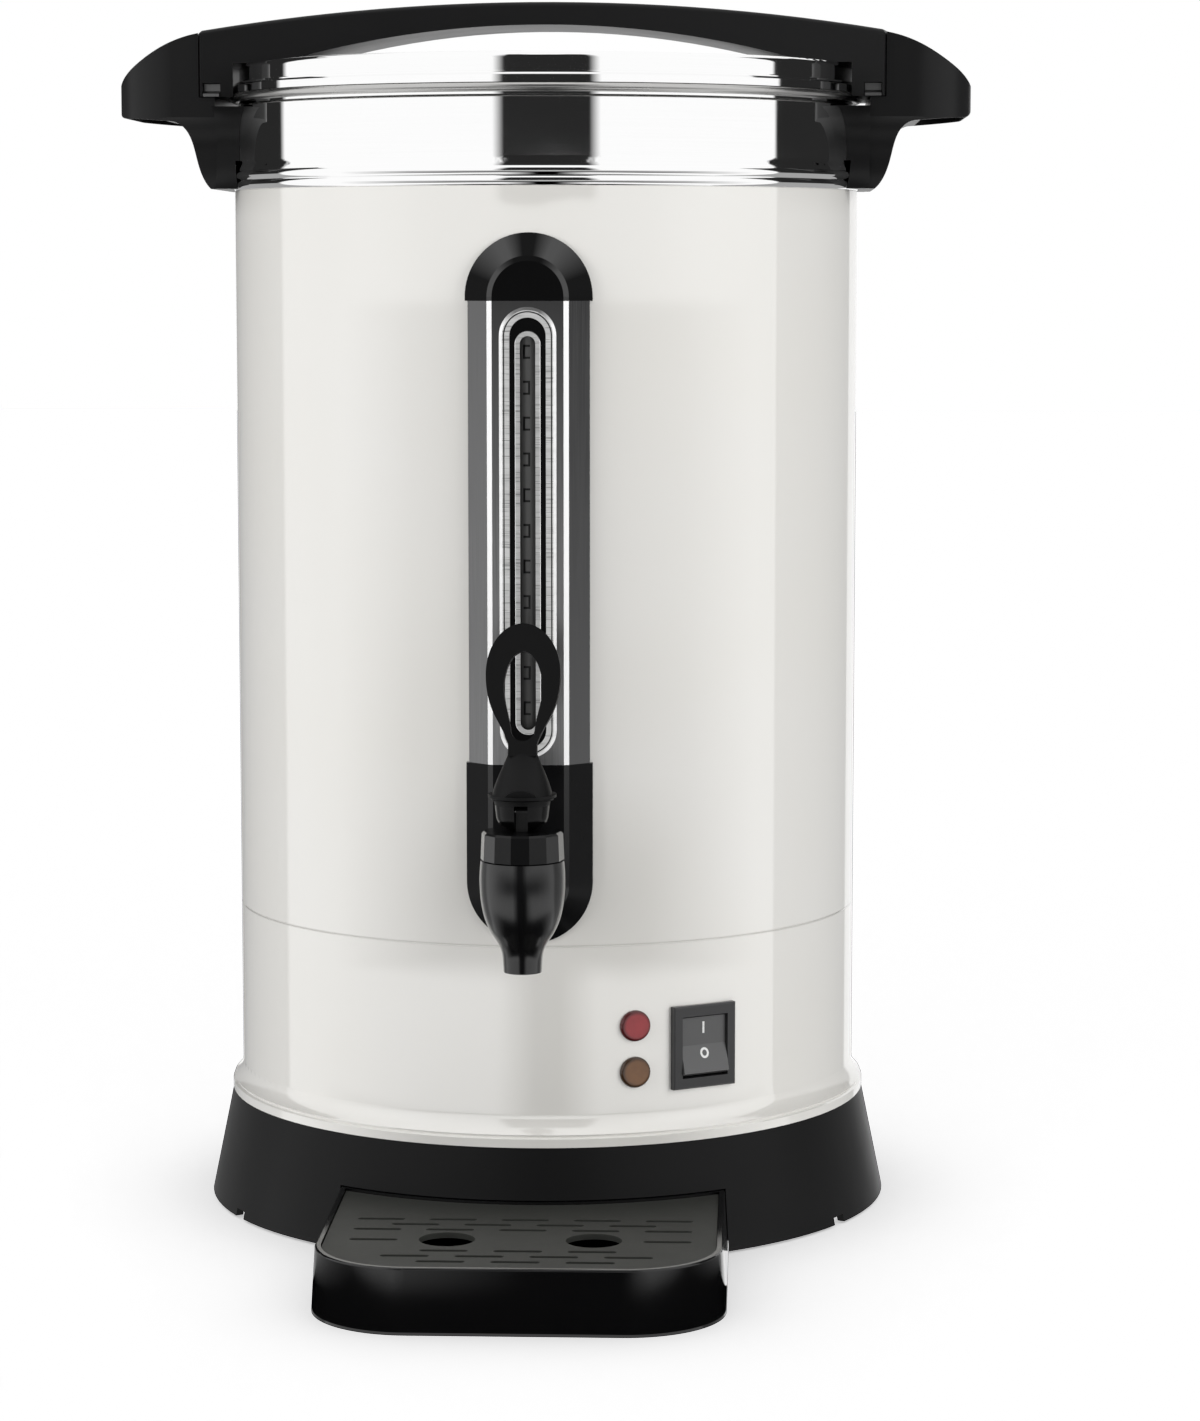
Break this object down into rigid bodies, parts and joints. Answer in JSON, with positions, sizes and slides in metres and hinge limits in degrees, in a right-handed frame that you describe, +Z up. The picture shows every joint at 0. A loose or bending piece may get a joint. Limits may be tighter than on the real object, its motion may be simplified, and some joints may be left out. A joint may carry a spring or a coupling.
{
  "type": "coffee urn",
  "caption": "Upright coffee urn with a flared base, lift-off lid under an arched handle, side grips, sight gauge, lever tap and a pull-out drip tray.",
  "frame": {"origin": "the body axis at counter level", "axes": "+Z up along the body axis, -Y towards the tap and drip tray, +X towards the switch side"},
  "size_m": [0.352, 0.3883, 0.5002],
  "materials": {
    "skirt": "satin",
    "grip": "satin",
    "cover": "matte",
    "jacket": "gloss",
    "bright": "mirror",
    "steel": "brushed",
    "heater": "satin",
    "rubber": "matte",
    "glass": "clear",
    "switch": "satin",
    "rocker": "satin",
    "red": "gloss",
    "amber": "gloss",
    "tap_stem": "satin",
    "brass": "bright"
  },
  "bodies": {
    "urn": {"base_skirt": "skirt", "base_plate": "steel", "rubber_feet": "rubber", "base_screws": "steel", "lower_jacket": "jacket", "upper_jacket": "jacket", "collar": "bright", "tank": "steel", "heater_plate": "heater", "heater_ring": "heater", "thermostat": "steel", "thermal_cutout": "steel", "tie_rods": "steel", "tie_nuts": "steel", "handle_right": "grip", "handle_left": "grip", "bracket_right": "grip", "bracket_left": "grip", "handle_screws": "steel", "gauge_lower_housing": "skirt", "gauge_cap": "skirt", "gauge_shield": "steel", "gauge_frame": "bright", "gauge_channel": "skirt", "gauge_rim": "bright", "gauge_tube": "glass", "gauge_seals": "rubber", "tap_shank": "steel", "tap_washers": "rubber", "tap_nut": "steel", "tap_body": "skirt", "tap_bonnet": "skirt", "tap_spring": "steel", "switch_housing": "switch", "lamp_red": "red", "lamp_amber": "amber", "lamp_clips": "steel", "power_inlet": "skirt", "inlet_pins": "brass"},
    "lid_assembly": {"lid": "bright", "lid_handle": "grip", "lid_screws": "steel", "lock_tabs": "steel"},
    "valve_stem": {"tap_stem": "tap_stem", "tap_seat_cup": "rubber"},
    "lever": {"tap_lever": "skirt", "tap_pivot_pin": "steel"},
    "rocker": {"switch_rocker": "rocker"},
    "tray": {"drip_tray": "skirt"},
    "tray_cover": {"drip_cover": "cover"},
    "pump": {"pump_tube": "steel"},
    "basket": {"coffee_basket": "steel"},
    "basket_lid": {"basket_cover": "steel"}
  },
  "joints": [
    {"name": "lid_lift", "type": "slide", "parent": "urn", "child": "lid_assembly", "axis": [0, 0, 1], "range_m": [0, 0.12]},
    {"name": "tap_stem_lift", "type": "slide", "parent": "urn", "child": "valve_stem", "axis": [0, 0, 1], "range_m": [0, 0.004], "deforming": ["tap_spring"]},
    {"name": "tap_lever_tilt", "type": "hinge", "parent": "valve_stem", "child": "lever", "pos_m": [0, -0.178, 0.1862], "axis": [1, 0, 0], "range_deg": [0, 45], "stiffness_Nm_per_rad": 0.006, "springref_deg": -28.65},
    {"name": "power_rocker", "type": "hinge", "parent": "urn", "child": "rocker", "pos_m": [0.06636, -0.10829, 0.0829], "axis": [0.8526, 0.5225, 0], "range_deg": [0, 16]},
    {"name": "tray_slide", "type": "slide", "parent": "urn", "child": "tray", "axis": [0, -1, 0], "range_m": [0, 0.1]},
    {"name": "tray_cover_lift", "type": "slide", "parent": "tray", "child": "tray_cover", "axis": [0, 0, 1], "range_m": [0, 0.06]},
    {"name": "pump_lift", "type": "slide", "parent": "urn", "child": "pump", "axis": [0, 0, 1], "range_m": [0, 0.02]},
    {"name": "basket_lift", "type": "slide", "parent": "pump", "child": "basket", "axis": [0, 0, 1], "range_m": [0, 0.008]},
    {"name": "basket_cover_lift", "type": "slide", "parent": "basket", "child": "basket_lid", "axis": [0, 0, 1], "range_m": [0, 0.006]}
  ],
  "couplings": [
    {"joint": "tap_stem_lift", "follows": "tap_lever_tilt", "m_per_rad": 0.005}
  ]
}
